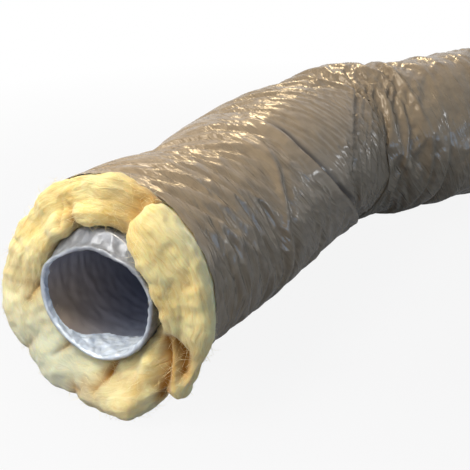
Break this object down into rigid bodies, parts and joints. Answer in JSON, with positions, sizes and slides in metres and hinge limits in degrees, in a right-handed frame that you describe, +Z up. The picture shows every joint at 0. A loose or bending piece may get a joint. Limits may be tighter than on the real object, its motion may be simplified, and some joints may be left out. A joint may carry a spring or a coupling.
{
  "type": "flexible air duct",
  "caption": "Insulated flexible air duct: wire-helix foil core, glass wool blanket and wrinkled film jacket, kinked once, for joining spigots in heating and ventilation.",
  "frame": {"origin": "on the floor, under the middle of the duct's box", "axes": "+Z up, -Y out of the front mouth; the run behind the kink turns towards +X"},
  "size_m": [0.477, 1.0332, 0.2501],
  "materials": {
    "silver_film": "crinkled metallised laminate film, satin silver",
    "spring_steel": "bright drawn spring wire",
    "foil_film": "crinkled foil laminate, bright silver",
    "glass_wool": "matt pale yellow fibre mat",
    "taupe_film": "wrinkled shiny grey-taupe metallised film"
  },
  "bodies": {
    "root": {"core_inner_ply": "silver_film", "core_wire_helix": "spring_steel", "core_outer_ply": "foil_film", "wool_blanket": "glass_wool", "jacket": "taupe_film"}
  },
  "joints": []
}
